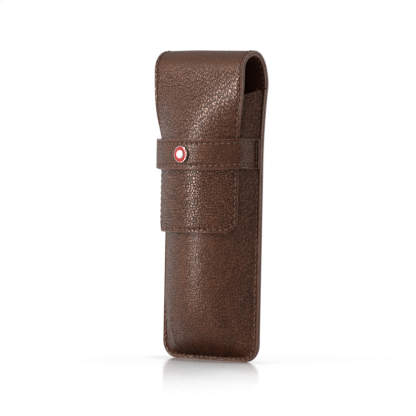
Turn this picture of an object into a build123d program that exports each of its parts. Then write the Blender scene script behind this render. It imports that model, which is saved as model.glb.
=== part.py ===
from build123d import *
import math
import os

# Pen case in stitched leather: a flat back, a moulded front pocket, and a flap that is the back
# carried up in an arch, down the front and under a sewn band with a domed rivet.
# Millimetres. Z is up from the bottom edge, and the front faces -Y.

# Leather and lining thicknesses
back_t = 1.6
pocket_t = 1.4
lining_t = 1.2
pocket_lining_t = 0.6
glue_gap = 0.05

# Outline of the back and its sewn lip
case_w = 62.0
corner_r = 9.0
lip_w = 2.6
lining_inset = 5.0
lip_overlap = 0.3

# The back leans rearwards above the band, where the flap begins
bow_start = 100.0
bow_reach = 2.8
hinge_z = 138.0

# Moulded pocket
pocket_depth = 21.1
pillow_h = 29.0
taper_start = 100.0
mouth_z = 137.0
mouth_depth = 15.5
mouth_drop = 7.0
mouth_overrun = 2.0
pillow_step_deg = 6
least_section = 1.0

# Flap
flap_inset = 2.2
tuck_gap = 0.4
arch_rise = 19.0
crest_y = -6.0
brow_r = 10.25
cheek_share = 0.7
shoulder_h = 15.0
bend_start = 147.0
bend_end = 107.5
straight_start = 101.0
tongue_past_band = 31.5
tongue_corner_r = 7.5

# Band
band_z = 96.0
band_h = 15.0
band_t = 1.4
band_lining_t = 0.8
band_gap = 0.45
band_tab_t = 1.3
band_past_flap = 0.6
kink_r = 3.0
band_foot_gap = 0.3
band_corner_r = 1.2

# Rivet
rivet_r = 4.15
rivet_h = 1.2
rivet_rim = 0.45
rivet_edge = 0.2
rivet_floor = 0.5
enamel_below_rim = 0.12
centre_r = 2.3
centre_proud = 0.6
centre_edge = 0.4
post_r = 1.25
post_gap = 0.05
washer_r = 3.3
washer_t = 0.45

# Worked out from the sizes above
half_w = case_w / 2
lip_t = back_t + pocket_t
half_chord = half_w - lip_w
full_rise = pocket_depth - lip_t
pocket_r = (half_chord**2 + full_rise**2) / (2 * full_rise)
pocket_centre_y = pocket_r - pocket_depth
flap_w = case_w - 2 * flap_inset
flap_t = back_t + glue_gap + lining_t
flap_r = pocket_r + tuck_gap + flap_t
flap_depth = flap_r - pocket_centre_y
flap_bend = (flap_w / 2) / flap_r
band_in_r = flap_r + band_gap
band_out_r = band_in_r + band_lining_t + glue_gap + band_t
band_face_y = pocket_centre_y - band_out_r
tongue_end_z = band_z - tongue_past_band
crest_z = hinge_z + arch_rise
brow_z = crest_z - brow_r
brow_y = crest_y - brow_r
lean = math.asin(2 * bow_reach * (hinge_z - bow_start) / (bow_reach**2 + (hinge_z - bow_start) ** 2))
rear_rise = (arch_rise - bow_reach + crest_y) / (1 + math.tan(lean / 2))
rear_y = bow_reach + rear_rise * math.tan(lean / 2)
rivet_top_y = band_face_y - rivet_h - centre_proud
middle_y = (rear_y + rivet_top_y) / 2
rivet_z = band_z + band_h / 2


def bow(z):
    """How far the back leans rearwards at a height."""
    if z <= bow_start:
        return 0.0
    radius = ((hinge_z - bow_start) ** 2 + bow_reach**2) / (2 * bow_reach)
    return radius - math.sqrt(radius**2 - (z - bow_start) ** 2)


def layer(front_y, back_y, top_z):
    """A sheet between two depths, as wide as the case, which follows the lean of the back."""
    def side(y):
        middle = (bow_start + top_z) / 2
        return ThreePointArc(
            (y, bow_start), (y + bow(middle), middle), (y + bow(top_z), top_z)
        )

    front, rear = side(front_y), side(back_y)
    edges = [
        Line((front_y, 0), (front_y, bow_start)),
        front,
        Line(front @ 1, rear @ 1),
        rear,
        Line((back_y, bow_start), (back_y, 0)),
        Line((back_y, 0), (front_y, 0)),
    ]
    profile = Plane.YZ * make_face(edges)
    return extrude(profile, case_w, both=True)


def outline(inset):
    """The case's outline with rounded bottom corners, cut right through from front to rear."""
    shape = Pos(0, hinge_z) * Rectangle(2 * (half_w - inset), 2 * (hinge_z - inset))
    shape = fillet(shape.vertices().sort_by(Axis.Y)[:2], corner_r - inset)
    return extrude(Plane.XZ * shape, 2 * case_w, both=True)


def above_mouth():
    """Everything above the sloping mouth of the pocket."""
    slope = math.degrees(math.atan2(mouth_drop, mouth_depth))
    block = Box(2 * case_w, 2 * case_w, case_w, align=(Align.CENTER, Align.CENTER, Align.MIN))
    return Pos(0, 0, mouth_z) * Rot(slope, 0, 0) * block


def pocket_section(z, rise, chord, inset, base):
    """The pocket's round section at a height, a distance in from its face, down to a base depth."""
    radius = (chord**2 + rise**2) / (2 * rise)
    face_y = bow(z) - lip_t - rise
    base_y = bow(z) - base
    r = radius - inset
    x = math.sqrt(r**2 - (face_y + radius - base_y) ** 2)
    arc = ThreePointArc((-x, base_y), (0, face_y + inset), (x, base_y))
    return Pos(0, 0, z) * make_face([arc, Line((x, base_y), (-x, base_y))])


def pillow(inset, base):
    """The pocket's swelling bottom, which starts where it is deep enough to hold a section."""
    sections = []
    in_corner_r = corner_r - lip_w
    for angle in range(pillow_step_deg, 91, pillow_step_deg):
        turn = math.radians(angle)
        up = pillow_h * (1 - math.cos(turn))
        chord = half_chord
        if up < in_corner_r:
            chord += math.sqrt(in_corner_r**2 - (in_corner_r - up) ** 2) - in_corner_r
        rise = full_rise * math.sin(turn)
        if lip_t + rise - inset - base >= least_section:
            sections.append(pocket_section(lip_w + up, rise, chord, inset, base))
    return loft(sections, ruled=True)


def mouth_taper(inset, base):
    """The pocket's upper part, which grows shallower up to its mouth."""
    sections = []
    steps = 8
    for step in range(steps + 1):
        z = taper_start + (mouth_z + mouth_overrun - taper_start) * step / steps
        share = (z - taper_start) / (mouth_z - taper_start)
        depth = pocket_depth + (mouth_depth - pocket_depth) * share
        rise = depth - lip_t + bow(z)
        sections.append(pocket_section(z, rise, half_chord, inset, base))
    return loft(sections, ruled=True)


def pocket_form(inset, base):
    """The pocket's whole round form: bottom pillow, straight middle and tapered top."""
    pillow_top = lip_w + pillow_h
    middle = pocket_section(pillow_top, full_rise, half_chord, inset, base)
    straight = extrude(middle, taper_start - pillow_top, dir=(0, 0, 1))
    return pillow(inset, base) + straight + mouth_taper(inset, base)


def back_leather():
    return layer(-back_t, 0, hinge_z) & outline(0)


def back_lining():
    face = back_t + glue_gap
    return layer(-face - lining_t, -face, hinge_z) & outline(lining_inset)


def pocket_leather():
    flange = layer(-lip_t, -back_t, hinge_z) & outline(0)
    moulded = flange + pocket_form(0, lip_t - lip_overlap)
    return moulded - pocket_form(pocket_t, back_t - lip_overlap) - above_mouth()


def pocket_lining():
    outer = pocket_t + glue_gap
    base = back_t + 2 * glue_gap + lining_t
    sheet = pocket_form(outer, base) - pocket_form(outer + pocket_lining_t, back_t)
    return sheet - above_mouth() - layer(-base, 0, hinge_z)


def arch_line(inset):
    """The arch from the side, a distance in from its outer face, from the hinge over to the brow."""
    rear_z, rise_r = hinge_z + rear_rise, rear_rise / math.sin(lean)
    start, turn = -math.degrees(lean), math.degrees(lean)
    return [
        CenterArc((rear_y - rise_r, rear_z), rise_r - inset, start, turn),
        CenterArc((crest_y, rear_z), rear_y - crest_y - inset, 0, 90),
        CenterArc((crest_y, brow_z), brow_r - inset, 90, 90),
    ]


def fall_line():
    """The flap's outer face on its centre line, from the brow down to the straight tongue."""
    cheek_y = brow_y + (-flap_depth - brow_y) * cheek_share
    points = [(brow_y, brow_z), (cheek_y, (brow_z + straight_start) / 2), (-flap_depth, straight_start)]
    return Plane.YZ * Spline(*points, tangents=[(0, -1), (0, -1)])


def arch_layer(inset, thickness):
    """The flat arch: a side profile drawn across, then narrowed from the back's width."""
    outer, inner = arch_line(inset), arch_line(inset + thickness)
    ends = [Line(outer[0] @ 0, inner[0] @ 0), Line(outer[-1] @ 1, inner[-1] @ 1)]
    profile = Plane.YZ * make_face(outer + inner + ends)
    band_of_leather = extrude(Pos(-half_w, 0, 0) * profile, case_w, dir=(1, 0, 0))
    half, shoulder_z, top = flap_w / 2, hinge_z + shoulder_h, crest_z + flap_t
    edges = [Line((-half_w, hinge_z), (half_w, hinge_z)), Line((-half, top), (half, top))]
    for side in (-1, 1):
        edges.append(TangentArc((side * half, shoulder_z), (side * half_w, hinge_z), tangent=(0, -1)))
        edges.append(Line((side * half, shoulder_z), (side * half, top)))
    front_view = make_face(edges)
    return band_of_leather & extrude(Plane.XZ * front_view, case_w, both=True)


def bend_at(z):
    """Half the angle that the flap is curved through, across its width."""
    flat = math.radians(0.05)
    share = min(max((bend_start - z) / (bend_start - bend_end), 0), 1)
    return max(flat, flap_bend * share**2 * (3 - 2 * share))


def strip_section(half, bend, inset, thickness):
    """The section of a strip bent to an arc, with its outer face through the origin."""
    radius = half / bend
    outer, inner = radius - inset, radius - inset - thickness

    def arc(r, sign):
        x, y = r * math.sin(bend), r * math.cos(bend) - radius
        return ThreePointArc((-sign * x, y), (0, r - radius), (sign * x, y))

    out, back = arc(outer, 1), arc(inner, -1)
    return make_face([out, Line(out @ 1, back @ 0), back, Line(back @ 1, out @ 0)])


def flap_layer(inset, thickness):
    """One of the flap's layers: the arch, the front that bends round the pocket, the tongue."""
    line = fall_line()
    sections = []
    steps = 12
    for step in range(steps + 1):
        at, way = line @ (step / steps), line % (step / steps)
        section = strip_section(flap_w / 2, bend_at(at.Z), inset, thickness)
        sections.append(Plane(origin=at, x_dir=(1, 0, 0), z_dir=way) * section)
    front = loft(sections, ruled=True)
    tongue = extrude(sections[-1], straight_start - tongue_end_z)
    return arch_layer(inset, thickness) + front + tongue - tongue_corners()


def tongue_corners():
    """What is cut off the tongue to round its two corners."""
    r = tongue_corner_r
    edge_x = flap_r * math.sin(flap_bend) + glue_gap
    cut = None
    for side in (-1, 1):
        block = Pos(side * edge_x, 0, tongue_end_z) * Box(2 * r, 2 * flap_depth, 2 * r)
        rod = Rot(90, 0, 0) * Cylinder(r, 3 * flap_depth)
        block -= Pos(side * (edge_x - r), 0, tongue_end_z + r) * rod
        cut = block if cut is None else cut + block
    return cut


def band_point(radius, angle):
    return (radius * math.sin(angle), pocket_centre_y - radius * math.cos(angle))


def band_profile(inner_r, outer_r, with_tab):
    """Half of the band from above: round the flap, straight to the lip, then a sewn tab."""
    turn = flap_bend + band_past_flap / band_in_r
    in_end, out_end = band_point(inner_r, turn), band_point(outer_r, turn)
    out_mid, in_mid = band_point(outer_r, turn / 2), band_point(inner_r, turn / 2)
    from_inner = inner_r - band_in_r
    foot_x = half_chord + band_foot_gap + from_inner
    foot = (foot_x, -lip_t)
    thick = outer_r - inner_r
    edges = [
        Line((0, pocket_centre_y - inner_r), (0, pocket_centre_y - outer_r)),
        ThreePointArc((0, pocket_centre_y - outer_r), out_mid, out_end),
    ]
    if with_tab:
        out_foot = (foot_x + thick, -lip_t - band_tab_t)
        edges += [
            Line(out_end, out_foot),
            Line(out_foot, (half_w, -lip_t - band_tab_t)),
            Line((half_w, -lip_t - band_tab_t), (half_w, -lip_t)),
            Line((half_w, -lip_t), foot),
        ]
    else:
        out_foot = (foot_x + thick, -lip_t)
        edges += [Line(out_end, out_foot), Line(out_foot, foot)]
    edges += [
        Line(foot, in_end),
        ThreePointArc(in_end, in_mid, (0, pocket_centre_y - inner_r)),
    ]
    face = make_face(edges)
    for corner, radius in ((out_end, kink_r + thick), (in_end, kink_r)):
        face = fillet(face.vertices().sort_by_distance(corner)[0], radius)
    return face


def band_sheet(inner_r, outer_r, with_tab):
    half = band_profile(inner_r, outer_r, with_tab)
    whole = half + mirror(half, about=Plane.YZ)
    return Pos(0, 0, band_z) * extrude(whole, band_h)


def at_rivet(depth_y, shape):
    """Stands a shape that is drawn along +Z on the band's face, pointing forwards."""
    return Pos(0, depth_y, rivet_z) * Rot(90, 0, 0) * shape


def disc(radius, height):
    return Cylinder(radius, height, align=(Align.CENTER, Align.CENTER, Align.MIN))


washer_y = band_face_y + band_t + glue_gap + washer_t
washer_seat = at_rivet(washer_y + glue_gap, disc(washer_r + glue_gap, washer_t + 2 * glue_gap))
post_hole = at_rivet(washer_y + glue_gap, disc(post_r + post_gap, band_t + washer_t + rivet_h))


def band_leather():
    front_view = Pos(0, rivet_z) * RectangleRounded(case_w, band_h, band_corner_r)
    rounded = extrude(Plane.XZ * front_view, case_w, both=True)
    band = band_sheet(band_out_r - band_t, band_out_r, True) & rounded
    return band - washer_seat - post_hole


def band_lining():
    return band_sheet(band_in_r, band_in_r + band_lining_t, False) - washer_seat


def rivet_cup():
    cup = disc(rivet_r, rivet_h)
    cup = chamfer(cup.edges().sort_by(Axis.Z)[-1], rivet_edge)
    well = Pos(0, 0, rivet_floor) * disc(rivet_r - rivet_rim, rivet_h)
    post_l = band_t + glue_gap + washer_t
    post = Pos(0, 0, -post_l) * disc(post_r, post_l)
    return at_rivet(band_face_y, cup - well + post)


def rivet_enamel():
    height = rivet_h - rivet_floor - enamel_below_rim
    ring = disc(rivet_r - rivet_rim, height) - disc(centre_r, height)
    return at_rivet(band_face_y, Pos(0, 0, rivet_floor) * ring)


def rivet_dome():
    height = rivet_h + centre_proud - rivet_floor
    dome = disc(centre_r, height)
    dome = chamfer(dome.edges().sort_by(Axis.Z)[-1], centre_edge)
    return at_rivet(band_face_y, Pos(0, 0, rivet_floor) * dome)


def rivet_washer():
    return at_rivet(washer_y, disc(washer_r, washer_t) - disc(post_r, washer_t))


nodes = {
    "back_leather": back_leather,
    "back_lining": back_lining,
    "pocket_leather": pocket_leather,
    "pocket_lining": pocket_lining,
    "flap_leather": lambda: flap_layer(0, back_t),
    "flap_lining": lambda: flap_layer(back_t + glue_gap, lining_t),
    "band_leather": band_leather,
    "band_lining": band_lining,
    "rivet_cup": rivet_cup,
    "rivet_enamel": rivet_enamel,
    "rivet_dome": rivet_dome,
    "rivet_washer": rivet_washer,
}

os.makedirs("parts", exist_ok=True)
for name, make in nodes.items():
    export_step(Pos(0, -middle_y, 0) * make(), f"parts/{name}.step")
print("height", crest_z, "depth", rear_y - rivet_top_y, "middle y", middle_y)
print("hinge y in the part's frame", bow_reach - middle_y)
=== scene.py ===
import bpy
import numpy as np
from mathutils import Matrix, Vector, noise


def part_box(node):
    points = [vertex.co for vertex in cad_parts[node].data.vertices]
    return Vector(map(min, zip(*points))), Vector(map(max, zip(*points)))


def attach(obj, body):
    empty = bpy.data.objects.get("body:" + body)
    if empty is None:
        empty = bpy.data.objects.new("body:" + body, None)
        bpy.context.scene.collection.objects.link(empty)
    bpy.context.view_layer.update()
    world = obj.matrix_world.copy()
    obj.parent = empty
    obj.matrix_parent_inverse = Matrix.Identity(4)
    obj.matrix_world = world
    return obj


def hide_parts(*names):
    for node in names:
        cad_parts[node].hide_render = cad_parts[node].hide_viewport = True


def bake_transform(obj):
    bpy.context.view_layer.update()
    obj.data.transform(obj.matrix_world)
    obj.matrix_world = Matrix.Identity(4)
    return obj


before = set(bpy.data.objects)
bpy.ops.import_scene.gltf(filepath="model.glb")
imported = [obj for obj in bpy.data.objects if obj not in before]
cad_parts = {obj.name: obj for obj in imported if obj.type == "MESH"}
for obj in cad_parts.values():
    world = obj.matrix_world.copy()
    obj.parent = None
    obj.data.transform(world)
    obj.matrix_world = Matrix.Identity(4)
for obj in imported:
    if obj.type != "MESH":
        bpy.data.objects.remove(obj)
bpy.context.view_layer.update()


# The hide: back panel, arch and flap in one strip of waxed cow hide, 1.6 mm thick, lined and edge painted. It
# is the flat back, is carried up and over in an arch and comes down the front, where it takes the pocket's
# curve. Thread goes through both close to the edge.
case_half, corner_r, hide_t = 31.0, 9.0, 1.6
lean_from, hinge_z, lean_reach = 100.0, 138.0, 2.8
arch_rise, crest_y, brow_r, cheek_share, cheek_slope = 19.0, -6.0, 10.25, 0.7, 0.75
crest_sag, sag_from_x, sag_over_x, sag_over_z = 1.0, -20, 50, 14
flap_half, shoulder_from, shoulder_to = 28.8, 137.0, 153.0
bend_from, bend_to, straight_from, least_bend = 147.0, 107.5, 101.0, 0.0009
tongue_end, tongue_corner = 64.5, 7.5
pocket_depth, lip_t, lip_w = 21.1, 3.0, 2.6
flap_gap, flap_layers = 0.4, 2.85
chord = case_half - lip_w
full_rise = pocket_depth - lip_t
pocket_r = (chord**2 + full_rise**2) / (2 * full_rise)
pocket_middle = pocket_r - pocket_depth
flap_r = pocket_r + flap_gap + flap_layers
flap_bend = flap_half / flap_r
flap_face = flap_r - pocket_middle
shift_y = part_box("back_leather")[1].y * 1000 - lean_reach
split_z = 144.0


def step(share):
    """Goes from 0 to 1 with no kink at either end."""
    share = np.clip(share, 0, 1)
    return share**2 * (3 - 2 * share)


def along(path):
    """The length run at each point of a path."""
    return np.concatenate([[0], np.cumsum(np.linalg.norm(np.diff(path, axis=0), axis=1))])


def even_points(path, pitch):
    """The same path as evenly spaced points, with the length run at each."""
    run = along(path)
    even = np.linspace(0, run[-1], int(run[-1] / pitch) + 1)
    return even, np.stack([np.interp(even, run, path[:, i]) for i in range(path.shape[1])], 1)


def lean(z):
    """How far the back stands back at a height."""
    radius = ((hinge_z - lean_from) ** 2 + lean_reach**2) / (2 * lean_reach)
    return radius - np.sqrt(radius**2 - np.clip(z - lean_from, 0, None) ** 2)


def side_line():
    """The hide's outer face seen from the side, from the bottom edge to the tongue's end: up the leaning
    back, round three arcs, down two smooth falls over brow and cheek, and straight down."""
    straight_pitch, pitch, arc_points, fall_points = 0.5, 0.2, 40, 50
    z = np.arange(0, hinge_z, straight_pitch)
    runs = [np.stack([lean(z), z], 1)]
    tilt = 2 * np.arctan(lean_reach / (hinge_z - lean_from))
    rear_rise = (arch_rise - lean_reach + crest_y) / (1 + np.tan(tilt / 2))
    rear_y = lean_reach + rear_rise * np.tan(tilt / 2)
    brow_y, brow_z = crest_y - brow_r, hinge_z + arch_rise - brow_r
    rise_r = rear_rise / np.sin(tilt)
    for y, z, radius, start, end in (
        (rear_y - rise_r, hinge_z + rear_rise, rise_r, -tilt, 0),
        (crest_y, hinge_z + rear_rise, rear_y - crest_y, 0, np.pi / 2),
        (crest_y, brow_z, brow_r, np.pi / 2, np.pi),
    ):
        turn = np.linspace(start, end, arc_points, endpoint=False)
        runs.append(np.stack([y + radius * np.cos(turn), z + radius * np.sin(turn)], 1))
    drop = (brow_z - straight_from) / 2
    cheek_y = brow_y + (-flap_face - brow_y) * cheek_share
    slope = cheek_slope * (-flap_face - brow_y)
    t = np.linspace(0, 1, fall_points, endpoint=False)
    for start, end, first, last, top in (
        (brow_y, cheek_y, 0, slope, brow_z),
        (cheek_y, -flap_face, slope, 0, brow_z - drop),
    ):
        y = start * (1 + 2 * t) * (1 - t) ** 2 + first * t * (1 - t) ** 2
        y += end * t**2 * (3 - 2 * t) - last * t**2 * (1 - t)
        runs.append(np.stack([y, top - drop * t], 1))
    z = np.arange(straight_from, tongue_end - 0.01, -straight_pitch)
    runs.append(np.stack([np.full(len(z), -flap_face), z], 1))
    return even_points(np.concatenate(runs), pitch)


run_of, line_of = side_line()
way_of = np.gradient(line_of, run_of, axis=0)
way_of /= np.linalg.norm(way_of, axis=1, keepdims=True)
crest_run = run_of[line_of[:, 1].argmax()]
hide_len = run_of[-1]


def height_at(s):
    """The height of the hide's face at each length along the strip."""
    return np.interp(s, run_of, line_of[:, 1])


def hide(x, s):
    """A point of the hide's outer face: x is across and s along the strip, as if it lay flat."""
    y, z = np.interp(s, run_of, line_of[:, 0]), height_at(s)
    wy, wz = np.interp(s, run_of, way_of[:, 0]), np.interp(s, run_of, way_of[:, 1])
    share = np.where(s > crest_run, (bend_from - z) / (bend_from - bend_to), 0)
    radius = flap_half / np.maximum(flap_bend * step(share), least_bend)
    sink = radius * (1 - np.cos(x / radius))
    sag = crest_sag * step((x - sag_from_x) / sag_over_x) * step((z - hinge_z) / sag_over_z)
    return np.stack([radius * np.sin(x / radius), y - wz * sink, z + wy * sink - sag], -1)


def facing(surface, a, b, way, reach=0.25):
    """The unit normal of a surface that is given by two lengths. way turns it outwards."""
    up = surface(a, b + reach) - surface(a, b - reach)
    across = surface(a + reach, b) - surface(a - reach, b)
    normal = np.cross(up, across) * way
    return normal / np.linalg.norm(normal, axis=-1, keepdims=True)


# How far from a cut the mesh has its points: on the rounded edge, and on both sides of the seam.
edge_r = 0.37
edge_steps = np.array([0, 0.05, 0.13, 0.24, edge_r])
seam_steps = np.array([0.6, 0.85, 1.1, 1.3, 1.5, 1.7, 1.9, 2.15, 2.4, 2.8, 3.3])


def lengthwise(start, end, pitch=0.5):
    """Places along a strip, close together at both ends."""
    near = np.concatenate([edge_steps, seam_steps])
    middle = np.arange(start + near[-1] + pitch, end - near[-1] - pitch / 2, pitch)
    return np.concatenate([start + near, middle, end - near[::-1]])


def net(places, half, pitch, seams=True):
    """The two lengths at each point of a strip: close together at its edges and seams, even between."""
    near = np.concatenate([edge_steps, seam_steps]) if seams else edge_steps
    half = np.broadcast_to(np.asarray(half, float), places.shape)[:, None]
    inner = half - near[-1]
    even = inner * np.linspace(-1, 1, int(2 * inner.max() / pitch))[1:-1]
    across = np.concatenate([near - half, even, half - near[::-1]], -1)
    return across, np.broadcast_to(places[:, None], across.shape)


def rounding(distance):
    """How far a rounded edge lies below the face, by the distance from the cut."""
    return edge_r - np.sqrt(np.clip(edge_r**2 - np.clip(edge_r - distance, 0, None) ** 2, 0, None))


def near_to(points, marks, radius):
    """How near each point is to the nearest mark, from 0 to 1. The marks are taken 30 at a time."""
    flat = points.reshape(-1, 3)
    near = np.full(len(flat), 1e9)
    for part in np.array_split(marks, len(marks) // 30 + 1):
        low, high = part.min(0) - 3 * radius, part.max(0) + 3 * radius
        at = np.nonzero(((flat > low) & (flat < high)).all(1))[0]
        if len(at):
            near[at] = np.minimum(near[at], ((flat[at, None] - part[None]) ** 2).sum(-1).min(1))
    return np.exp(-near / radius**2).reshape(points.shape[:-1])


def waviness(points, size, height):
    """The slight unevenness of leather that was shaped by hand."""
    flat = points.reshape(-1, 3) / size
    return np.array([noise.noise(Vector(p)) for p in flat]).reshape(points.shape[:-1]) * height


def thing_of(name, vertices, faces, flat, materials, finish):
    """A smooth mesh from points in millimetres, with a map of its flat coordinates in metres."""
    mesh = bpy.data.meshes.new(name)
    mesh.from_pydata(((vertices + [0, shift_y, 0]) / 1000).tolist(), [], faces)
    for material in materials:
        mesh.materials.append(material)
    mesh.polygons.foreach_set("material_index", np.asarray(finish, np.int32))
    mesh.polygons.foreach_set("use_smooth", np.ones(len(faces), bool))
    corner = np.zeros(len(mesh.loops), np.int32)
    mesh.loops.foreach_get("vertex_index", corner)
    layer = mesh.uv_layers.new(name="unfolded")
    layer.data.foreach_set("uv", (flat / 1000)[corner].astype(np.float32).ravel())
    thing = bpy.data.objects.new(name, mesh)
    bpy.context.scene.collection.objects.link(thing)
    return thing


def leather(name, points, normals, thick, flat, materials, to_edge, raised=0, shut=None, **masks):
    """A sheet of leather from the grid of its outer face: two faces and a painted edge all round.
    to_edge is each point's distance from the cut, raised what the outer face stands proud of the grid,
    and shut the end row that meets another sheet."""
    raised_from_cut = 0.6
    rows, columns = points.shape[:2]
    drop = rounding(to_edge)
    outer = points + normals * (raised * step(to_edge / raised_from_cut) - drop)[..., None]
    inner = points - normals * (thick - drop)[..., None]
    vertices = np.concatenate([outer.reshape(-1, 3), inner.reshape(-1, 3)])
    count = rows * columns
    index = np.arange(count).reshape(rows, columns)
    quads = np.stack([index[:-1, :-1], index[:-1, 1:], index[1:, 1:], index[1:, :-1]], -1).reshape(-1, 4)
    ring = np.concatenate([index[0, :-1], index[:-1, -1], index[-1, :0:-1], index[:0:-1, 0]])
    following = np.roll(ring, -1)
    walls = np.stack([following, ring, ring + count, following + count], -1)
    faces = np.concatenate([quads, quads[:, ::-1] + count, walls])
    at = rows // 2, columns // 2
    turn = np.cross(points[at[0], at[1] + 1] - points[at], points[at[0] + 1, at[1]] - points[at])
    if np.dot(turn, normals[at]) < 0:
        faces = faces[:, ::-1]
    painted = to_edge.ravel()[quads].max(1) < edge_r + 0.01
    finish = np.concatenate([painted * 1, np.where(painted, 1, 2), np.ones(len(walls), int)])
    flat = flat.reshape(-1, 2)
    thing = thing_of(name, vertices, faces.tolist(), np.concatenate([flat, flat]), materials, finish)
    for mask, values in masks.items():
        values = np.broadcast_to(values, points.shape[:-1]).ravel()
        attribute = thing.data.attributes.new(mask, "FLOAT", "POINT")
        attribute.data.foreach_set("value", np.concatenate([values, values]).astype(np.float32))
    if shut is not None:
        ends = set(index[shut].tolist()) | set((index[shut] + count).tolist())
        for edge in thing.data.edges:
            edge.use_edge_sharp = edge.vertices[0] in ends and edge.vertices[1] in ends
    return thing


def linear(code):
    """An sRGB hex colour as the linear colour that Blender takes."""
    parts = [int(code[i : i + 2], 16) / 255 for i in (0, 2, 4)]
    return tuple(p / 12.92 if p <= 0.04045 else ((p + 0.055) / 1.055) ** 2.4 for p in parts) + (1.0,)


def node(tree, kind, links=None, **settings):
    """Adds a shader node with its settings and with values or links on its sockets."""
    made = tree.nodes.new(kind)
    for key, value in settings.items():
        setattr(made, key, value)
    for key, value in (links or {}).items():
        socket = made.inputs[key]
        if isinstance(value, bpy.types.NodeSocket):
            tree.links.new(value, socket)
        else:
            socket.default_value = value
    return made


def new_material(name, **sockets):
    """A material with values on its shader's own sockets."""
    material = bpy.data.materials.new(name)
    material.use_nodes = True
    shader = material.node_tree.nodes["Principled BSDF"]
    for key, value in sockets.items():
        shader.inputs[key.replace("_", " ")].default_value = value
    return material, material.node_tree, shader


# Cow hide, pebble grained by a hot plate, dyed and waxed. The pebbles are drawn out into slanting creases
# where the hide bends. Their tops are lighter and have the wax's gloss, which is weaker seen at a slant. The
# valleys between them are dull and painted dark, partly for the dye they hold and partly as painted shade in
# the hollows of the grain.
pebble_mm, crease_mm, crease_turn = 1.3, (1.1, 2.5), np.radians(55)
strays_per_mm, stray_reach, patches_per_mm, pores_per_mm, pore_depth = 0.55, 1.6, 0.11, 2.2, 0.05
valley_edge, pebble_top, even_share, grain_depth = 0.03, 0.4, 0.45, 0.00013
valley_dye_and_shade, top, worn, painted_hole_shade = linear("241009"), linear("582D16"), linear("582D18"), linear("180C07")
hide_brown, tree, shader = new_material(
    "pebbled_cow_leather", Specular_Tint=linear("E4B69C"), Coat_Roughness=0.28
)
unfolded = node(tree, "ShaderNodeUVMap", uv_map="unfolded").outputs[0]
in_mm = node(tree, "ShaderNodeVectorMath", {0: unfolded, "Scale": 1000.0}, operation="SCALE").outputs[0]
stray = node(
    tree, "ShaderNodeTexNoise", {"Vector": in_mm, "Scale": strays_per_mm, "Detail": 2.0}
).outputs["Color"]
stray = node(tree, "ShaderNodeVectorMath", {0: stray, 1: (0.5, 0.5, 0.5)}, operation="SUBTRACT").outputs[0]
strayed = node(
    tree, "ShaderNodeVectorMath", {0: stray, 1: (stray_reach, stray_reach, 0), 2: in_mm},
    operation="MULTIPLY_ADD",
).outputs[0]
pebbles = node(
    tree, "ShaderNodeTexVoronoi", {"Vector": strayed, "Scale": 1 / pebble_mm},
    voronoi_dimensions="2D", feature="DISTANCE_TO_EDGE",
).outputs["Distance"]
slanted = node(
    tree, "ShaderNodeMapping",
    {"Vector": strayed, "Rotation": (0, 0, crease_turn - np.pi / 2), "Scale": (*crease_mm, 1)},
    vector_type="TEXTURE",
).outputs[0]
creases = node(
    tree, "ShaderNodeTexVoronoi", {"Vector": slanted, "Scale": 1.0},
    voronoi_dimensions="2D", feature="DISTANCE_TO_EDGE",
).outputs["Distance"]
crease = node(tree, "ShaderNodeAttribute", attribute_name="crease").outputs["Fac"]
grain = node(tree, "ShaderNodeAttribute", attribute_name="grain").outputs["Fac"]
hole = node(tree, "ShaderNodeAttribute", attribute_name="hole").outputs["Fac"]
patches = node(
    tree, "ShaderNodeTexNoise", {"Vector": in_mm, "Scale": patches_per_mm, "Detail": 3.0}
).outputs[0]
patchy = node(
    tree, "ShaderNodeMapRange",
    {"Value": patches, "From Min": 0.35, "From Max": 0.65, "To Min": 0.6, "To Max": 1.0},
).outputs[0]
crease = node(tree, "ShaderNodeMath", {0: crease, 1: patchy}, operation="MULTIPLY").outputs[0]
inside = node(tree, "ShaderNodeMix", {"Factor": crease, "A": pebbles, "B": creases}).outputs["Result"]
pores = node(tree, "ShaderNodeTexNoise", {"Vector": in_mm, "Scale": pores_per_mm, "Detail": 2.0}).outputs[0]
inside = node(
    tree, "ShaderNodeMath", {0: pores, 1: pore_depth, 2: inside}, operation="MULTIPLY_ADD"
).outputs[0]
cushion = node(
    tree, "ShaderNodeMapRange", {"Value": inside, "From Max": 0.35}, interpolation_type="SMOOTHSTEP"
).outputs[0]
relief = node(tree, "ShaderNodeMath", {0: cushion, 1: grain}, operation="MULTIPLY").outputs[0]
depth = node(
    tree, "ShaderNodeMapRange", {"Value": inside, "From Min": valley_edge, "From Max": pebble_top}
).outputs[0]
share = node(tree, "ShaderNodeMix", {"Factor": grain, "A": even_share, "B": depth}).outputs["Result"]
# Valley to top colour by the grain's height: the dark valleys are partly dye and partly painted shade.
colour = node(
    tree, "ShaderNodeMix", {"Factor": share, "A": valley_dye_and_shade, "B": top}, data_type="RGBA"
).outputs["Result"]
fade = node(
    tree, "ShaderNodeMapRange", {"Value": patches, "From Min": 0.45, "From Max": 0.75, "To Max": 0.5}
).outputs[0]
colour = node(
    tree, "ShaderNodeMix", {"Factor": fade, "A": colour, "B": worn}, data_type="RGBA"
).outputs["Result"]
# Needle holes: painted shade, near black, where the hole mask is high.
colour = node(
    tree, "ShaderNodeMix", {"Factor": hole, "A": colour, "B": painted_hole_shade}, data_type="RGBA"
).outputs["Result"]
tree.links.new(colour, shader.inputs["Base Color"])
grazing = node(tree, "ShaderNodeLayerWeight", {"Blend": 0.5}).outputs["Facing"]
dulled = node(
    tree, "ShaderNodeMapRange", {"Value": grazing, "From Min": 0.4, "To Min": 1.0, "To Max": 0.1}
).outputs[0]
wax = node(tree, "ShaderNodeMapRange", {"Value": share, "To Min": 0.04, "To Max": 0.42}).outputs[0]
wax = node(tree, "ShaderNodeMath", {0: wax, 1: dulled}, operation="MULTIPLY").outputs[0]
tree.links.new(wax, shader.inputs["Coat Weight"])
shine = node(tree, "ShaderNodeMapRange", {"Value": relief, "To Min": 0.6, "To Max": 0.26}).outputs[0]
tree.links.new(shine, shader.inputs["Roughness"])
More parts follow.
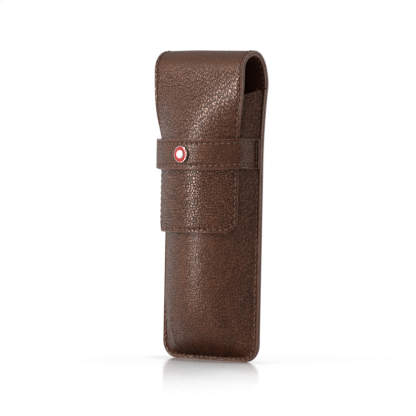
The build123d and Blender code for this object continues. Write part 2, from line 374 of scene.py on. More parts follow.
level = node(tree, "ShaderNodeMapRange", {"Value": share, "To Min": 0.05, "To Max": 1.0}).outputs[0]
level = node(tree, "ShaderNodeMath", {0: level, 1: dulled}, operation="MULTIPLY").outputs[0]
tree.links.new(level, shader.inputs["Specular IOR Level"])
bump = node(tree, "ShaderNodeBump", {"Distance": grain_depth, "Height": relief}).outputs[0]
tree.links.new(bump, shader.inputs["Normal"])

# Edge paint: acrylic laid on the cut in thin coats and burnished, so it is smooth with a low gloss.
paint_dark, paint_light = linear("5C3428"), linear("8A5D4A")
edge_paint, tree, shader = new_material("burnished_edge_paint", Roughness=0.4, Specular_IOR_Level=0.3)
seen = node(tree, "ShaderNodeUVMap", uv_map="unfolded").outputs[0]
coats = node(tree, "ShaderNodeTexNoise", {"Vector": seen, "Scale": 260.0, "Detail": 2.0}).outputs[0]
colour = node(
    tree, "ShaderNodeMix", {"Factor": coats, "A": paint_dark, "B": paint_light}, data_type="RGBA"
).outputs["Result"]
tree.links.new(colour, shader.inputs["Base Color"])
bump = node(tree, "ShaderNodeBump", {"Distance": 0.0001, "Height": coats}).outputs[0]
tree.links.new(bump, shader.inputs["Normal"])

# Lining calf: thin, smooth, drum dyed dark brown and left matt, with a very fine hair pattern.
# The pattern is about 0.3 mm on the real skin and is drawn at 0.5 mm so that it shows.
hair_size, dye_dark, dye_light = 0.0005, linear("34190F"), linear("553022")
lining_brown, tree, shader = new_material("drum_dyed_lining_calf", Roughness=0.72, Specular_IOR_Level=0.15)
seen = node(tree, "ShaderNodeUVMap", uv_map="unfolded").outputs[0]
hairs = node(tree, "ShaderNodeTexNoise", {"Vector": seen, "Scale": 1 / hair_size, "Detail": 2.0}).outputs[0]
clouds = node(tree, "ShaderNodeTexNoise", {"Vector": seen, "Scale": 70.0, "Detail": 2.0}).outputs[0]
tone = node(tree, "ShaderNodeMath", {0: hairs, 1: 0.4, 2: clouds}, operation="MULTIPLY_ADD").outputs[0]
tone = node(tree, "ShaderNodeMapRange", {"Value": tone, "From Min": 0.4, "From Max": 1.0}).outputs[0]
colour = node(
    tree, "ShaderNodeMix", {"Factor": tone, "A": dye_dark, "B": dye_light}, data_type="RGBA"
).outputs["Result"]
tree.links.new(colour, shader.inputs["Base Color"])
bump = node(tree, "ShaderNodeBump", {"Distance": 0.00008, "Height": hairs}).outputs[0]
tree.links.new(bump, shader.inputs["Normal"])

# Thread: three plies of bonded polyester, waxed, about 0.5 mm thick, in a saddle stitch of 3 mm.
# The twist of the plies shows as slanting stripes, with painted shade in the grooves where two plies meet.
stitch_pitch, stitch_len, thread_r, seam_in = 3.0, 2.1, 0.24, 1.55
ply_turn, plies_per_m, ply_groove_shade, ply_light = np.radians(38), 2600, linear("4A2C20"), linear("A8826C")
thread, tree, shader = new_material("waxed_twisted_thread", Roughness=0.55)
seen = node(tree, "ShaderNodeUVMap", uv_map="unfolded").outputs[0]
plies = node(
    tree, "ShaderNodeMapping",
    {"Vector": seen, "Rotation": (0, 0, ply_turn), "Scale": (plies_per_m, plies_per_m, 1)},
).outputs[0]
plies = node(tree, "ShaderNodeTexWave", {"Vector": plies, "Scale": 0.32, "Distortion": 0.6}).outputs["Fac"]
colour = node(
    tree, "ShaderNodeMix", {"Factor": plies, "A": ply_groove_shade, "B": ply_light}, data_type="RGBA"
).outputs["Result"]
tree.links.new(colour, shader.inputs["Base Color"])
bump = node(tree, "ShaderNodeBump", {"Distance": 0.00006, "Height": plies}).outputs[0]
tree.links.new(bump, shader.inputs["Normal"])


def needle_holes(path):
    """Where the needle goes through along a row."""
    run = along(path)
    at = np.linspace(0, run[-1], max(1, round(run[-1] / stitch_pitch)) + 1)
    return np.stack([np.interp(at, run, path[:, i]) for i in range(3)], 1)


def sew(name, rows, body="pouch"):
    """Rows of stitches, each row a path on a surface with its normals. A stitch is a short piece of
    thread that lies a little slantwise and dips into the leather at both ends, where it is drawn thin."""
    bedded, dip, slant, drawn_thin = 0.45, 0.5, 0.17, 0.4
    t = np.linspace(-1, 1, 9)
    angle = np.linspace(0, 2 * np.pi, 8, endpoint=False)
    vertices, flats, faces = [], [], []
    for path, normals in rows:
        run = along(path)
        count = max(1, round(run[-1] / stitch_pitch))
        at = (np.arange(count) + 0.5)[:, None] * run[-1] / count + t * stitch_len / 2
        centre = np.stack([np.interp(at, run, path[:, i]) for i in range(3)], -1)
        normal = np.stack([np.interp(at, run, normals[:, i]) for i in range(3)], -1)
        way = np.gradient(centre, axis=1)
        side = np.cross(way, normal)
        side /= np.linalg.norm(side, axis=-1, keepdims=True)
        lift = -thread_r * bedded - dip * t**6
        centre = centre + normal * lift[:, None] + side * (slant * t)[:, None]
        ring = normal[:, :, None] * np.sin(angle)[:, None] + side[:, :, None] * np.cos(angle)[:, None]
        ring = centre[:, :, None] + ring * (thread_r * (1 - drawn_thin * t**8))[:, None, None]
        index = np.arange(ring[..., 0].size).reshape(count, len(t), len(angle)) + sum(map(len, vertices))
        near, far = index[:, :-1], index[:, 1:]
        quads = np.stack([near, far, np.roll(far, -1, 2), np.roll(near, -1, 2)], -1).reshape(-1, 4)
        faces += quads.tolist()
        for end in (index[:, 0], index[:, -1, ::-1]):
            faces += end.tolist()
        around = np.broadcast_to(angle * thread_r, ring.shape[:-1])
        flats.append(np.stack([around, np.broadcast_to(at[..., None], around.shape)], -1).reshape(-1, 2))
        vertices.append(ring.reshape(-1, 3))
    thing = thing_of(
        name, np.concatenate(vertices), faces, np.concatenate(flats), [thread], np.zeros(len(faces))
    )
    if body == "bend":
        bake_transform(thing)
    else:
        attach(thing, body)


def half_at(s):
    """The hide's half width along its length: round bottom corners, shoulders and the tongue's corners."""
    low = np.clip(corner_r - s, 0, None)
    half = case_half - corner_r + np.sqrt(corner_r**2 - low**2)
    narrowing = step((height_at(s) - shoulder_from) / (shoulder_to - shoulder_from))
    half -= (case_half - flap_half) * np.where(s > crest_run, 1, narrowing)
    left = np.clip(tongue_corner - (hide_len - s), 0, None)
    return half - tongue_corner + np.sqrt(tongue_corner**2 - left**2)


# The seam on the strip's right half, in the strip's two lengths.
s = np.arange(0, hide_len + 0.05, 0.1)
edge = np.stack([half_at(s), s], 1)
way = np.gradient(edge, axis=0)
way /= np.linalg.norm(way, axis=1, keepdims=True)
seam = edge + np.stack([-way[:, 1], way[:, 0]], 1) * seam_in
seam = seam[(seam[:, 1] > seam_in) & (seam[:, 1] < hide_len - seam_in) & (seam[:, 0] > 0)]
rear = run_of < crest_run
split_s = float(np.interp(split_z, line_of[rear, 1], run_of[rear]))
row_pitch = 0.2


def mirrored(line, at_start):
    """A half seam, closed across one end of the strip and carried along its other side."""
    x, s = line[0] if at_start else line[-1]
    across = np.arange(x, 0, -row_pitch)
    across = np.stack([across, np.full(len(across), s)], 1)
    half = np.concatenate([across[::-1], line]) if at_start else np.concatenate([line, across])
    other = half * [-1, 1]
    return np.concatenate([other[::-1], half]) if at_start else np.concatenate([half, other[::-1]])


def on(surface, line, way=1, depth=0.0):
    """A row on a surface, from its two lengths: points and normals."""
    normal = facing(surface, line[:, 0], line[:, 1], way)
    return surface(line[:, 0], line[:, 1]) - normal * depth, normal


hole_r, hole_deep, groove_r, groove_deep = 0.42, 0.4, 0.8, 0.2


def worked(points, rows, size, high, down):
    """The needle's holes in a face, and how far it stands proud: slight waves, less holes and grooves."""
    # The hole mask also darkens the leather's colour there, as painted shade in the holes.
    hole = near_to(points, np.concatenate([needle_holes(path) for path, _ in rows]), hole_r)
    groove = near_to(points, np.concatenate([path[::4] for path, _ in rows]), groove_r)
    return hole, waviness(points, size, high) - down - hole_deep * hole - groove_deep * groove


# The arch is pulled smooth and the back is hardly creased. The flap's front is creased above the band, and
# more at its right than at its left.
wave_size, wave_high = 16, 0.13
crown_from, crown_over, crown_flat, crown_plain = 143, 8, 0.72, 0.7
cheek_from, cheek_over, back_crease, left_crease, right_more = 96, 20, 0.2, 0.45, 0.45
right_from, right_over = -24, 30
flap_seam = mirrored(seam[seam[:, 1] > split_s], False)
back_row, flap_row = on(hide, mirrored(seam[seam[:, 1] < split_s], True)), on(hide, flap_seam)
places = lengthwise(0, hide_len)
X, S = net(places, half_at(places), pitch=1.0)
points, normals = hide(X, S), facing(hide, X, S, 1)
cut = np.minimum(half_at(S) - abs(X), np.minimum(S, hide_len - S))
hole, raised = worked(points, [back_row, flap_row], wave_size, wave_high, wave_high)
z = points[..., 2]
crown = step((z - crown_from) / crown_over)
cheek = np.where(S > crest_run, step((z - cheek_from) / cheek_over), back_crease)
crease = cheek * (left_crease + right_more * step((X - right_from) / right_over)) * (1 - crown_plain * crown)
grain = 1 - crown_flat * crown
split = int(np.argmin(abs(S[:, 0] - split_s)))
for name, rows, open_end in (("hide_back", slice(0, split + 1), -1), ("hide_flap", slice(split, None), 0)):
    piece = leather(
        name, points[rows], normals[rows], hide_t, np.stack([X, S], -1)[rows],
        [hide_brown, edge_paint, lining_brown], cut[rows], raised[rows], open_end,
        hole=hole[rows], crease=crease[rows], grain=grain[rows],
    )
    if name == "hide_flap":
        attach(piece, "flap")
        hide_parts("flap_leather")
    else:
        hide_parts("back_leather")
        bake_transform(piece)
sew("flap_stitches", [flap_row], "flap")
sew("back_stitches", [back_row], "bend")


# The lining: one strip of thin dark calf, glued to the inside of the hide. It starts inside the back's
# seam and runs up the pocket's rear wall, under the arch and down the flap, where it is as wide as the hide.
lining_t, glue_gap, short_by = 1.2, 0.05, 0.12
lining_half_low, lining_from, lining_corner, widens_z = 26.0, 5.0, 4.0, 137.05


def lining_half(s):
    """The lining's half width along the strip: narrow behind the pocket, and as the hide above it."""
    low = np.clip(lining_corner - (s - lining_from), 0, None)
    round_end = lining_half_low - lining_corner + np.sqrt(np.clip(lining_corner**2 - low**2, 0, None))
    return np.where((s < crest_run) & (height_at(s) < widens_z), round_end, half_at(s) - short_by)


widens_s = float(np.interp(widens_z, line_of[rear, 1], run_of[rear]))
lining_end = hide_len - short_by
lining_pitch = 1.2
upper = lengthwise(widens_s, lining_end, pitch=0.8)
lower = np.arange(lining_from + 1, widens_s - 0.3, lining_pitch)
places = np.concatenate([lining_from + edge_steps, lower, [widens_s - 0.01], upper[1:]])
X, S = net(places, lining_half(places), lining_pitch)
normals = facing(hide, X, S, 1)
points = hide(X, S) - normals * (hide_t + glue_gap)
cut = np.minimum(lining_half(S) - abs(X), np.minimum(S - lining_from, lining_end - S))
split = int(np.argmin(abs(S[:, 0] - split_s)))
for name, rows, open_end in (
    ("lining_back", slice(0, split + 1), -1), ("lining_flap", slice(split, None), 0),
):
    piece = leather(
        name, points[rows], normals[rows], lining_t, np.stack([X, S], -1)[rows],
        [lining_brown, edge_paint, lining_brown], cut[rows], shut=open_end,
    )
    if name == "lining_flap":
        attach(piece, "flap")
        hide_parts("flap_lining")
    else:
        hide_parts("back_lining")
        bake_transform(piece)
inside = hide_t + glue_gap + lining_t
under = on(hide, flap_seam, depth=inside)
sew("flap_lining_stitches", [(under[0], -under[1])], "flap")
arch_rows = []
for side in (-1, 1):
    line = seam[(seam[:, 1] > widens_s + stitch_pitch / 2) & (seam[:, 1] < split_s)] * [side, 1]
    under = on(hide, line, depth=inside)
    arch_rows.append((under[0], -under[1]))
sew("arch_lining_stitches", arch_rows, "bend")


# The pocket: 1.4 mm cow hide, wetted and moulded over a form into a pillow, with a flat lip all round
# that is glued and sewn to the back. Its mouth is cut level, a little lower in the middle of its front.
pocket_t, pillow_h, taper_from, mouth_z, mouth_depth, mouth_drop = 1.4, 29.0, 100.0, 137.0, 15.5, 7.0
warp_from, least_rise, soft_over = 104.0, 0.01, 0.8
taps = np.array([-1.5, -1, -0.5, 0, 0.5, 1, 1.5])
weights = np.exp(-(taps**2) / 2)
weights /= weights.sum()


def rise_line():
    """The pocket's rise over the lip on its middle, against the height, with the soft fillet at its foot.
    The corners are softened over about a millimetre."""
    below, beyond, pitch = -6, 150, 0.1
    z = np.arange(below, lip_w, pitch / 2)
    angle = np.linspace(0, np.pi / 2, 400)
    runs = [np.stack([z, 0 * z], 1)]
    runs.append(np.stack([lip_w + pillow_h * (1 - np.cos(angle)), full_rise * np.sin(angle)], 1))
    z = np.arange(lip_w + pillow_h + 0.05, beyond, 0.5)
    taper = np.clip((z - taper_from) / (mouth_z - taper_from), 0, None)
    depth = pocket_depth + (mouth_depth - pocket_depth) * taper
    runs.append(np.stack([z, depth - lip_t + lean(z)], 1))
    line = even_points(np.concatenate(runs), pitch)[1]
    kernel = np.exp(-(np.linspace(-3, 3, 61) ** 2) / 2)
    kernel /= kernel.sum()
    more = np.arange(1, 31)[:, None]
    before, after = line[0] - more[::-1] * (pitch, 0), line[-1] + more * (line[-1] - line[-2])
    padded = np.concatenate([before, line, after])
    line = np.stack([np.convolve(padded[:, i], kernel, "valid") for i in (0, 1)], 1)
    return along(line) - along(line)[np.argmin(abs(line[:, 0]))], line


rise_run, rise_of = rise_line()


def inner_chord(z):
    """Half the moulded pillow's width at a height."""
    inner_r = corner_r - lip_w
    up = np.clip(z - lip_w, 0, inner_r)
    return chord - inner_r + np.sqrt(inner_r**2 - (inner_r - up) ** 2)


def arc_half(c, rise):
    """The radius and half the length of an arc, from half its chord and its rise."""
    rise = np.maximum(rise, least_rise)
    radius = (c**2 + rise**2) / (2 * rise)
    return radius, radius * np.arctan2(c, radius - rise)


def section(l, c, rise):
    """Across the pocket at one height: round, then flat on the lip. l is the length from the middle."""
    radius, half = arc_half(c, rise)
    angle = np.minimum(abs(l), half) / radius
    x = radius * np.sin(angle) + np.clip(abs(l) - half, 0, None)
    height = radius * np.cos(angle) - (radius - np.maximum(rise, least_rise))
    return np.sign(l) * x, np.where(abs(l) < half, height, 0)


def soft_section(l, c, rise):
    """The same with a soft fillet where the round part meets the lip."""
    parts = [section(l + t * soft_over, c, rise) for t in taps]
    return [sum(w * p[i] for w, p in zip(weights, parts)) for i in (0, 1)]


mouth_slope = mouth_drop / mouth_depth
warp_run = float(np.interp(warp_from, rise_of[:, 0], rise_run))
pocket_top = float(np.interp(mouth_z + mouth_slope * (lean(mouth_z) - lip_t), rise_of[:, 0], rise_run))


def mouth_height(l):
    """The height of the mouth's cut at each length from the middle, found in six rounds."""
    z = np.full(np.shape(l), mouth_z)
    for _ in range(6):
        height = soft_section(l, chord, np.interp(z, rise_of[:, 0], rise_of[:, 1]))[1]
        z = mouth_z + mouth_slope * (lean(z) - lip_t - height)
    return z


def pocket(l, v):
    """A point of the pocket's outer face: l is across and v up its middle."""
    share = np.clip((v - warp_run) / (pocket_top - warp_run), 0, None)
    z = np.interp(v, rise_run, rise_of[:, 0])
    z = np.where(share > 0, warp_from + share * (mouth_height(l) - warp_from), z)
    x, height = soft_section(l, inner_chord(z), np.interp(z, rise_of[:, 0], rise_of[:, 1]))
    return np.stack([x, lean(z) - lip_t - height, z], -1)


def pocket_half(v):
    """Half the pocket's width at a height, measured over its curve, to the lip's edge."""
    z, rise = np.interp(v, rise_run, rise_of[:, 0]), np.interp(v, rise_run, rise_of[:, 1])
    return arc_half(inner_chord(z), rise)[1] + half_at(z) - inner_chord(z)


def lip_point(x, z):
    """A point of the lip's outer face."""
    return np.stack([x, lean(z) - lip_t, z], -1)


# The seams: the lip's row stops just below the band and goes on above it, and one row follows the mouth.
# The lip's own ends at the mouth are left square.
band_z, band_h = 96.0, 15.0
lip_seam_end, under_band, over_band, mouth_in, mouth_short, far_off = 135, 0.7, 2, 1.6, 4.2, 9
lip_seam = seam[seam[:, 1] < lip_seam_end]
lip_rows = [on(lip_point, mirrored(lip_seam[lip_seam[:, 1] < band_z - under_band], True), -1)]
upper = lip_seam[lip_seam[:, 1] > band_z + band_h + over_band]
lip_rows += [on(lip_point, upper * [side, 1], -1) for side in (-1, 1)]
mouth_half = pocket_half(pocket_top)
mouth_line = np.arange(-mouth_half + mouth_short, mouth_half - mouth_short, row_pitch)
mouth_line = np.stack([mouth_line, np.full(len(mouth_line), pocket_top - mouth_in)], 1)
mouth_row = on(pocket, mouth_line, -1)
places = lengthwise(0, pocket_top)
L, V = net(places, pocket_half(places), pitch=1.0)
points, normals = pocket(L, V), facing(pocket, L, V, -1)
on_lip = abs(L) > pocket_half(V) - lip_w
cut = np.minimum(pocket_half(V) - abs(L), np.minimum(V, np.where(on_lip, far_off, pocket_top - V)))

# The marks of the moulding: small puckers fan out round the bottom corners, the walls are drawn into
# upright folds, and a long tuck with a low ridge beside it is drawn in slantwise from the foot on each side.
pucker_high, puckers, pucker_at, pucker_wide = 0.16, 15, 4, 2
fold_size, fold_high, fold_narrow, fold_clear, fold_wall = 8, 0.7, 4.5, 4, 2
tuck_deep, tuck_low, tuck_in, tuck_top, tuck_out = 0.9, 3, 7, 36, 18
wave_size, wave_high, wave_down = 15, 0.16, 0.25
front_crease, wall_more, wall_over, crease_from, crease_over = 0.35, 0.5, 1.4, 30, 40
x, z = points[..., 0], points[..., 2]
corner_x, corner_z = case_half - corner_r, corner_r
reach = np.hypot(abs(x) - corner_x, corner_z - z)
turn = np.arctan2(corner_z - z, abs(x) - corner_x)
fan = np.exp(-(((reach - pucker_at) / pucker_wide) ** 2)) * np.sin(2 * np.clip(turn, 0, np.pi / 2)) ** 2
pucker = np.sin(turn * puckers) * fan * ((turn > 0) & (turn < np.pi / 2))
wall = 1 - abs(normals[..., 1])
folds = waviness(np.stack([L * fold_narrow, V, 0 * L], -1), fold_size, fold_high)
tuck = 0
for deep, slant, middle, wide in ((1, 0.16, 24, 2.2), (-0.5, 0.2, 19, 2.6)):
    tuck = tuck + deep * np.exp(-(((abs(x) + slant * z - middle) / wide) ** 2))
tuck = step((z - tuck_low) / tuck_in) * step((tuck_top - z) / tuck_out) * tuck
drawn = folds * step(wall * fold_wall) * step(cut / fold_clear) - tuck_deep * tuck
hole, raised = worked(points, [*lip_rows, mouth_row], wave_size, wave_high, wave_down)
raised = raised + pucker_high * pucker + drawn
crease = front_crease + wall_more * step(wall * wall_over) * step((z - crease_from) / crease_over)
piece = leather(
    "pocket_shell", points, normals, pocket_t, np.stack([L, -V], -1), [hide_brown, edge_paint, lining_brown],
    cut, raised, hole=hole, crease=crease, grain=0.8,
)
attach(piece, "pouch")
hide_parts("pocket_leather")
sew("lip_stitches", lip_rows)
sew("mouth_stitches", [mouth_row])


# The pocket's lining: thin dark calf, 0.6 mm, moulded with the pocket and glued inside it, trimmed at the
# foot of the pillow and just short of the mouth.
pocket_lining_t, lining_foot, lining_short, lining_in, least_cut = 0.6, 7.5, 0.15, 2.6, 0.15
places = np.arange(lining_foot, pocket_top - 1.2, 1.3)
places = np.concatenate([places, pocket_top - lining_short - edge_steps[::-1]])
foot_z, foot_rise = (np.interp(places, rise_run, rise_of[:, i]) for i in (0, 1))
L, V = net(places, arc_half(inner_chord(foot_z), foot_rise)[1] - lining_in, pitch=1.4, seams=False)
normals = facing(pocket, L, V, -1)
cut = np.minimum(abs(L).max(1)[:, None] - abs(L), np.minimum(V - lining_foot, V.max() - V))
piece = leather(
    "pocket_lining_sheet", pocket(L, V) - normals * (pocket_t + glue_gap), normals, pocket_lining_t,
    np.stack([L, -V], -1), [lining_brown, edge_paint, lining_brown], np.maximum(cut, least_cut),
)
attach(piece, "pouch")
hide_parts("pocket_lining")
inner = on(pocket, mouth_line, -1, pocket_t + glue_gap + pocket_lining_t)
sew("mouth_lining_stitches", [(inner[0], -inner[1])])


# The band: a strap of the same hide, 15 mm high, with a row of stitches along each edge. It lies round the
# flap, kinks out over the lip at each side and is skived there and sewn through lip and back.
band_t, band_lining_t, band_gap, tab_t, tab_foot = 1.4, 0.8, 0.45, 1.0, 29.5
band_rise, rise_from_x, rise_over_x, kink_past, kink_soft = 0.9, 18, 13, 0.6, 0.7
band_in = flap_r + band_gap
band_out = band_in + band_lining_t + glue_gap + band_t


def strap_line():
    """The strap's outer face seen from above: round the flap, in along the wall and out over the lip."""
    angle = np.linspace(0, flap_bend + kink_past / band_in, 60)
    line = np.stack([band_out * np.sin(angle), pocket_middle - band_out * np.cos(angle)], 1)
    line = np.concatenate([line, [[tab_foot, -lip_t - tab_t], [case_half, -lip_t - tab_t]]])
    line = np.concatenate([line[:0:-1] * [-1, 1], line])
    return along(line) - along(line)[-1] / 2, line


strap_run, strap_of = strap_line()
band_half = strap_run[-1]


def band(a, z):
    """A point of the band's outer face: a is along the strap and z its height."""
    near = [[np.interp(a + t * kink_soft, strap_run, strap_of[:, i]) for t in taps] for i in (0, 1)]
    x, y = (sum(w * p for w, p in zip(weights, parts)) for parts in near)
    over = np.sign(a) * np.clip(abs(a) - band_half, 0, None)
    return np.stack([x + over, y + 0 * z, z + band_rise * step((abs(x) - rise_from_x) / rise_over_x)], -1)


band_row_in, band_row_end, tab_row_end = 2.1, 4.5, 1.5
skived_by, skived_from, skived_over = 0.42, 9, 7
wave_size, wave_high = 12, 0.1
band_top = band_z + band_h
places = lengthwise(0, band_h) + band_z
A, Z = net(places, band_half, pitch=0.5)
points, normals = band(A, Z), facing(band, A, Z, -1)
rows = []
for height in (band_z + band_row_in, band_top - band_row_in):
    line = np.arange(-band_half + band_row_end, band_half - band_row_end + row_pitch / 2, row_pitch)
    rows.append(on(band, np.stack([line, np.full(len(line), height)], 1), -1))
for side in (-1, 1):
    line = np.arange(band_z + tab_row_end, band_top - tab_row_end + row_pitch / 2, row_pitch)
    rows.append(on(band, np.stack([np.full(len(line), side * (band_half - seam_in)), line], 1), -1))
hole, raised = worked(points, rows, wave_size, wave_high, wave_high)
cut = np.minimum(band_half - abs(A), np.minimum(Z - band_z, band_top - Z))
skived = skived_by * np.clip((abs(A) - band_half + skived_from) / skived_over, 0, 1)
piece = leather(
    "band_strap", points, normals, band_t - skived, np.stack([A, -Z], -1),
    [hide_brown, edge_paint, lining_brown], cut, raised, hole=hole, crease=0.1, grain=0.7,
)
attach(piece, "pouch")
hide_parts("band_leather")
sew("band_stitches", rows)


# The band's lining: dark calf, 0.8 mm, glued inside the strap and trimmed 5 mm short of its sewn ends.
band_lining_half = band_half - 5
A, Z = net(places, band_lining_half, pitch=0.7, seams=False)
normals = facing(band, A, Z, -1)
cut = np.minimum(band_lining_half - abs(A), np.minimum(Z - band_z, band_top - Z))
piece = leather(
    "band_lining_strap", band(A, Z) - normals * (band_t + glue_gap), normals, band_lining_t,
    np.stack([A, -Z], -1), [lining_brown, edge_paint, lining_brown], cut,
)
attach(piece, "pouch")
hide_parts("band_lining")


# The button: a domed press rivet turned from brass and plated bright, with a post through the band. Its
# rim holds a ring of red enamel round a raised white enamel dome. It carries no mark.
rivet_r, rivet_h, rivet_floor, rim_w, enamel_h, dome_r, dome_h = 4.15, 1.2, 0.5, 0.3, 1.1, 2.1, 1.95
post_r, post_end, post_bevel, base_h, base_bevel = 1.25, -1.9, 0.15, -0.3, 0.1
shoulder_h, rim_out, rim_in, floor_hub, dome_rise = 0.3, 0.2, 0.1, 0.3, 0.55
ring_gap, ring_under, bow_h = 0.02, 0.1, 0.1
rivet_z = band_z + band_h / 2
band_face = pocket_middle - band_out

# Plated brass: polished, then nickel plated, so it mirrors the studio with hardly a blur.
nickel_dark, nickel_light = linear("B9B6B2"), linear("DDDAD6")
plated_brass, tree, shader = new_material("nickel_plated_brass", Metallic=1.0)
place = node(tree, "ShaderNodeTexCoord").outputs["Object"]
wear = node(tree, "ShaderNodeTexNoise", {"Vector": place, "Scale": 900.0, "Detail": 3.0}).outputs[0]
colour = node(
    tree, "ShaderNodeMix", {"Factor": wear, "A": nickel_dark, "B": nickel_light}, data_type="RGBA"
).outputs["Result"]
tree.links.new(colour, shader.inputs["Base Color"])
blur = node(tree, "ShaderNodeMapRange", {"Value": wear, "To Min": 0.08, "To Max": 0.22}).outputs[0]
tree.links.new(blur, shader.inputs["Roughness"])

# Hard enamel: glass fired into the cup and polished, glossy with a slight unevenness of tone.
enamels = []
for name, low, high in (("red_hard_enamel", "B00C10", "D0141A"), ("white_hard_enamel", "F0EFEC", "FCFBFA")):
    enamel, tree, shader = new_material(name, Roughness=0.16, IOR=1.52, Coat_Weight=0.1, Coat_Roughness=0.05)
    place = node(tree, "ShaderNodeTexCoord").outputs["Object"]
    melt = node(tree, "ShaderNodeTexNoise", {"Vector": place, "Scale": 500.0, "Detail": 2.0}).outputs[0]
    colour = node(
        tree, "ShaderNodeMix", {"Factor": melt, "A": linear(low), "B": linear(high)}, data_type="RGBA"
    ).outputs["Result"]
    tree.links.new(colour, shader.inputs["Base Color"])
    bump = node(tree, "ShaderNodeBump", {"Distance": 0.00003, "Height": melt}).outputs[0]
    tree.links.new(bump, shader.inputs["Normal"])
    enamels.append(enamel)


def turned(name, profile, material, cad_node):
    """A piece turned on the rivet's axis, from its radius and its height over the band's face."""
    radius, height = np.array(profile, float).T
    angle = np.linspace(0, 2 * np.pi, 72, endpoint=False)
    x, z = radius[:, None] * np.cos(angle), rivet_z + radius[:, None] * np.sin(angle)
    y = np.broadcast_to(band_face - height[:, None], x.shape)
    vertices = np.stack([x, y, z], -1).reshape(-1, 3)
    index = np.arange(len(vertices)).reshape(x.shape)
    near, far = index[:-1], index[1:]
    quads = np.stack([near, np.roll(near, -1, 1), np.roll(far, -1, 1), far], -1).reshape(-1, 4)
    faces = quads.tolist() + [index[0, ::-1].tolist(), index[-1].tolist()]
    flat = np.stack([x, z], -1).reshape(-1, 2)
    thing = thing_of(name, vertices, faces, flat, [material], np.zeros(len(faces)))
    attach(thing, "pouch")
    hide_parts(cad_node)


def rounded(r, h, radius, start, end, count):
    """An arc of a profile, round a centre, between two angles in degrees."""
    angle = np.radians(np.linspace(start, end, count))
    return [(r + radius * np.cos(a), h + radius * np.sin(a)) for a in angle]


well_r = rivet_r - rim_w
cup = [(post_r - post_bevel, post_end), (post_r, post_end + post_bevel), (post_r, base_h)]
cup += [(rivet_r - base_bevel, base_h), (rivet_r, base_h + base_bevel), (rivet_r, shoulder_h)]
cup += rounded(rivet_r - rim_out, rivet_h - rim_out, rim_out, 0, 90, 6)
cup += rounded(well_r + rim_in, rivet_h - rim_in, rim_in, 90, 180, 4)
cup += [(well_r, rivet_floor), (floor_hub, rivet_floor)]
turned("rivet_shell", cup, plated_brass, "rivet_cup")
ring_in, ring_out = dome_r - ring_under, well_r - ring_gap
ring = [(ring_in, rivet_floor), (ring_out, rivet_floor)]
for r in np.linspace(ring_out, ring_in, 9)[:-1]:
    bow = np.sin(np.pi * (well_r - r) / (well_r - dome_r)) ** 0.6
    ring.append((r, enamel_h - bow_h + bow_h * bow))
turned("red_ring", ring, enamels[0], "rivet_enamel")
dome = [(dome_r, rivet_floor)]
for a in np.linspace(np.pi / 2, 0.02, 12):
    dome.append((dome_r * np.sin(a), dome_h - dome_rise + dome_rise * np.cos(a)))
turned("white_dome", dome, enamels[1], "rivet_dome")

# The washer behind the band is the CAD's own disc: the same plated brass.
for node_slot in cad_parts["rivet_washer"].material_slots:
    node_slot.material = plated_brass


# The table: a plain white board under the pouch. Seen straight or in a reflection it is white, with a faint
# blurred reflection of what stands on it. Where the pouch touches it, its white glow is darkened as a painted
# contact shadow.
table_half, contact_reach, pouch_reach = 3, 0.015, 0.6
own_grey, lit_grey, gloss_blur, gloss_haze, gloss_fade, gloss_gain = 0.8, 0.12, 0.12, 0.14, 0.3, 1.55
plain = bpy.data.meshes.new("white_table")
corners = [(-table_half, -table_half, 0), (table_half, -table_half, 0)]
corners += [(table_half, table_half, 0), (-table_half, table_half, 0)]
plain.from_pydata(corners, [], [(0, 1, 2, 3)])
table = bpy.data.objects.new("white_table", plain)
bpy.context.scene.collection.objects.link(table)


def seen_by(tree):
    """1 for rays that show a thing, straight or in a reflection, and 0 for those that only light others."""
    rays = node(tree, "ShaderNodeLightPath").outputs
    seen = rays["Is Camera Ray"]
    for ray in ("Is Glossy Ray", "Is Transmission Ray"):
        seen = node(
            tree, "ShaderNodeMath", {0: seen, 1: rays[ray]}, operation="ADD", use_clamp=True
        ).outputs[0]
    return seen


board, tree, shader = new_material(
    "satin_white_board", Base_Color=(own_grey, own_grey, own_grey, 1), Roughness=0.9
)
# Painted contact shadow: the board's white glow is darkened by occlusion close to the pouch.
open_air = node(tree, "ShaderNodeAmbientOcclusion", {"Distance": contact_reach}, samples=16).outputs["AO"]
contact_shaded_glow = node(tree, "ShaderNodeMapRange", {"Value": open_air, "From Min": 0.5, "To Max": 1.0}).outputs[0]
contact_shaded_glow = node(tree, "ShaderNodeEmission", {"Strength": contact_shaded_glow}).outputs[0]
matt = node(tree, "ShaderNodeBsdfDiffuse", {"Color": (lit_grey, lit_grey, lit_grey, 1)}).outputs[0]
matt = node(tree, "ShaderNodeAddShader", {0: matt, 1: contact_shaded_glow}).outputs[0]
satin = node(tree, "ShaderNodeBsdfGlossy", {"Roughness": gloss_blur}).outputs[0]
haze = node(tree, "ShaderNodeEmission", {"Strength": gloss_haze}).outputs[0]
satin = node(tree, "ShaderNodeAddShader", {0: satin, 1: haze}).outputs[0]
near = node(tree, "ShaderNodeAmbientOcclusion", {"Distance": pouch_reach}, samples=16).outputs["AO"]
near = node(tree, "ShaderNodeMath", {0: 1.0, 1: near}, operation="SUBTRACT").outputs[0]
near = node(tree, "ShaderNodeMath", {0: near, 1: gloss_fade}, operation="POWER").outputs[0]
gloss = node(tree, "ShaderNodeFresnel", {"IOR": 1.45}).outputs[0]
gloss = node(tree, "ShaderNodeMath", {0: gloss, 1: near}, operation="MULTIPLY").outputs[0]
gloss = node(
    tree, "ShaderNodeMath", {0: gloss, 1: gloss_gain}, operation="MULTIPLY", use_clamp=True
).outputs[0]
shown = node(tree, "ShaderNodeMixShader", {0: gloss, 1: matt, 2: satin}).outputs[0]
shown = node(tree, "ShaderNodeMixShader", {0: seen_by(tree), 1: shader.outputs[0], 2: shown}).outputs[0]
tree.links.new(shown, tree.nodes["Material Output"].inputs["Surface"])
plain.materials.append(board)


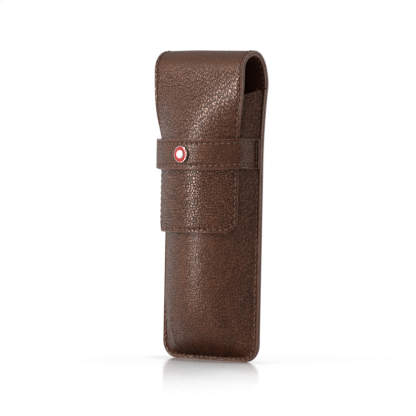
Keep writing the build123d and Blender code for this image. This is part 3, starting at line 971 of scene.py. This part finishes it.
# The studio: white all round, at about an eighth of its strength for what it lights, and four tall soft
# boxes 1 m off. The key stands in front and to the left, which puts the soft stripe on the flap. Weak ones
# light the left side and the right edge, and a wide one lights the back.
lit_share, box_off, box_tall, box_z, aim_z = 0.12, 1.0, 1.0, 0.24, 0.08
lamps = (
    ("front_key", -24, 13, 0.3), ("left_soft", -85, 1.2, 0.6),
    ("right_edge", 87, 0.6, 0.12), ("back_soft", 160, 6, 0.8),
)
world = bpy.data.worlds.new("white_studio")
bpy.context.scene.world = world
world.use_nodes = True
tree = world.node_tree
strength = node(
    tree, "ShaderNodeMapRange", {"Value": seen_by(tree), "To Min": lit_share, "To Max": 1.0}
).outputs[0]
tree.links.new(strength, tree.nodes["Background"].inputs["Strength"])
tree.nodes["Background"].inputs["Color"].default_value = (1, 1, 1, 1)
bpy.context.scene.view_settings.view_transform = "Standard"
for name, degrees, energy, width in lamps:
    box = bpy.data.lights.new(name, "AREA")
    box.shape, box.size, box.size_y, box.energy = "RECTANGLE", width, box_tall, energy
    box_thing = bpy.data.objects.new(name, box)
    bpy.context.scene.collection.objects.link(box_thing)
    bearing = np.radians(degrees)
    box_thing.location = (box_off * np.sin(bearing), -box_off * np.cos(bearing), box_z)
    aim = Vector((0, 0, aim_z)) - box_thing.location
    box_thing.rotation_euler = aim.to_track_quat("-Z", "Y").to_euler()

# The camera: nearly level, 1.3 m off, and 40 degrees round to the pouch's side.
azimuth, tilt, roll = np.radians(40.205), 0.002105, 0.01992
distance, focal_px, side_off, look_z = 1.30035, 2582.76, 0.0044205, 0.0769235
picture_px, sensor_mm = 416, 36
forward = Vector((-np.sin(azimuth) * np.cos(tilt), np.cos(azimuth) * np.cos(tilt), -np.sin(tilt)))
right = Vector((np.cos(azimuth), np.sin(azimuth), 0))
up = right.cross(forward)
across = right * np.cos(roll) + up * np.sin(roll)
upright = up * np.cos(roll) - right * np.sin(roll)
camera = bpy.data.cameras.new("camera")
camera.sensor_width = sensor_mm
camera.lens = focal_px / picture_px * sensor_mm
camera_thing = bpy.data.objects.new("camera", camera)
bpy.context.scene.collection.objects.link(camera_thing)
stand = Vector((0, 0, look_z)) + right * side_off - forward * distance
camera_turn = Matrix((across, upright, -forward)).transposed().to_4x4()
camera_thing.matrix_world = Matrix.Translation(stand) @ camera_turn
bpy.context.scene.camera = camera_thing
